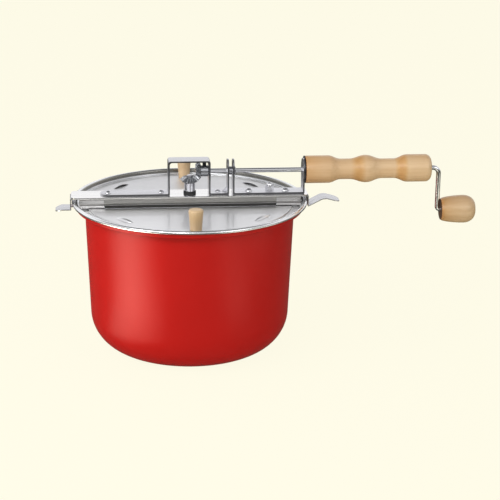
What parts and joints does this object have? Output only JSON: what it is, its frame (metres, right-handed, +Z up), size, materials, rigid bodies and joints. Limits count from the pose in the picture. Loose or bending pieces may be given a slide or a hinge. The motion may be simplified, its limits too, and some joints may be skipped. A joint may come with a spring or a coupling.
{
  "type": "stovetop popcorn popper",
  "caption": "Stovetop popcorn popper: round red pan with hinged half lids, rim clips, wooden handle, and a hand crank that turns a stirring wire through bevel gears.",
  "frame": {"origin": "on the pan's axis, at the underside of its base", "axes": "+Z up along the pan's axis; +X along the crossbar towards the handle and crank; +Y towards the back half lid"},
  "size_m": [0.4357, 0.2412, 0.2009],
  "materials": {
    "red_paint": "satin red enamel outside, bare metal lip and inside",
    "lid_sheet": "polished sheet",
    "bar_steel": "bright rolled steel",
    "strap_steel": "bright zinc plate",
    "chrome": "polished",
    "gear_steel": "grey sintered steel",
    "dark_steel": "black oxide",
    "black_rubber": "matt",
    "wood": "clear varnished maple"
  },
  "bodies": {
    "popper": {"pan": "red_paint", "crossbar": "bar_steel", "hinge_keepers": "bar_steel", "front_hinge_wire": "chrome", "back_hinge_wire": "chrome", "gear_bracket": "strap_steel", "handle_bracket": "strap_steel", "strap_rivets": "chrome", "clip_rivets": "chrome", "bracket_stud": "chrome", "cap_nut": "chrome", "stir_bearing": "chrome", "bearing_nut": "strap_steel", "seal_ring": "black_rubber", "handle": "wood", "handle_ferrule": "dark_steel", "handle_tube": "strap_steel"},
    "front_lid": {"front_half_lid": "lid_sheet", "front_lid_knob": "wood", "front_knob_screw": "strap_steel"},
    "back_lid": {"back_half_lid": "lid_sheet", "back_lid_knob": "wood", "back_knob_screw": "strap_steel"},
    "left_latch": {"left_clip": "strap_steel"},
    "right_latch": {"right_clip": "strap_steel"},
    "crank": {"crank_rod": "chrome", "crank_gear": "gear_steel", "gear_set_screw": "dark_steel", "rod_collar": "dark_steel", "rod_push_nut": "dark_steel", "knob_push_nut": "dark_steel"},
    "crank_grip": {"crank_knob": "wood", "knob_plug": "wood"},
    "stirrer": {"stir_shaft": "chrome", "stir_gear": "gear_steel", "shaft_collar": "strap_steel", "stir_wire": "chrome"}
  },
  "joints": [
    {"name": "front_lid_hinge", "type": "hinge", "parent": "popper", "child": "front_lid", "pos_m": [0, -0.0174, 0.155], "axis": [-1, 0, 0], "range_deg": [0, 80]},
    {"name": "back_lid_hinge", "type": "hinge", "parent": "popper", "child": "back_lid", "pos_m": [0, 0.0174, 0.155], "axis": [1, 0, 0], "range_deg": [0, 80]},
    {"name": "left_clip_release", "type": "slide", "parent": "popper", "child": "left_latch", "axis": [-1, 0, 0], "range_m": [0, 0.005], "stiffness_N_per_m": 1500},
    {"name": "right_clip_release", "type": "slide", "parent": "popper", "child": "right_latch", "axis": [1, 0, 0], "range_m": [0, 0.005], "stiffness_N_per_m": 1500},
    {"name": "crank_turn", "type": "hinge", "parent": "popper", "child": "crank", "pos_m": [0, 0, 0.1867], "axis": [1, 0, 0], "continuous": true},
    {"name": "crank_grip_spin", "type": "hinge", "parent": "crank", "child": "crank_grip", "pos_m": [0.28, 0, 0.1417], "axis": [1, 0, 0], "continuous": true},
    {"name": "stirrer_turn", "type": "hinge", "parent": "popper", "child": "stirrer", "pos_m": [0, 0, 0.1867], "axis": [0, 0, 1], "continuous": true}
  ],
  "couplings": [
    {"joint": "stirrer_turn", "follows": "crank_turn", "ratio": 1}
  ]
}
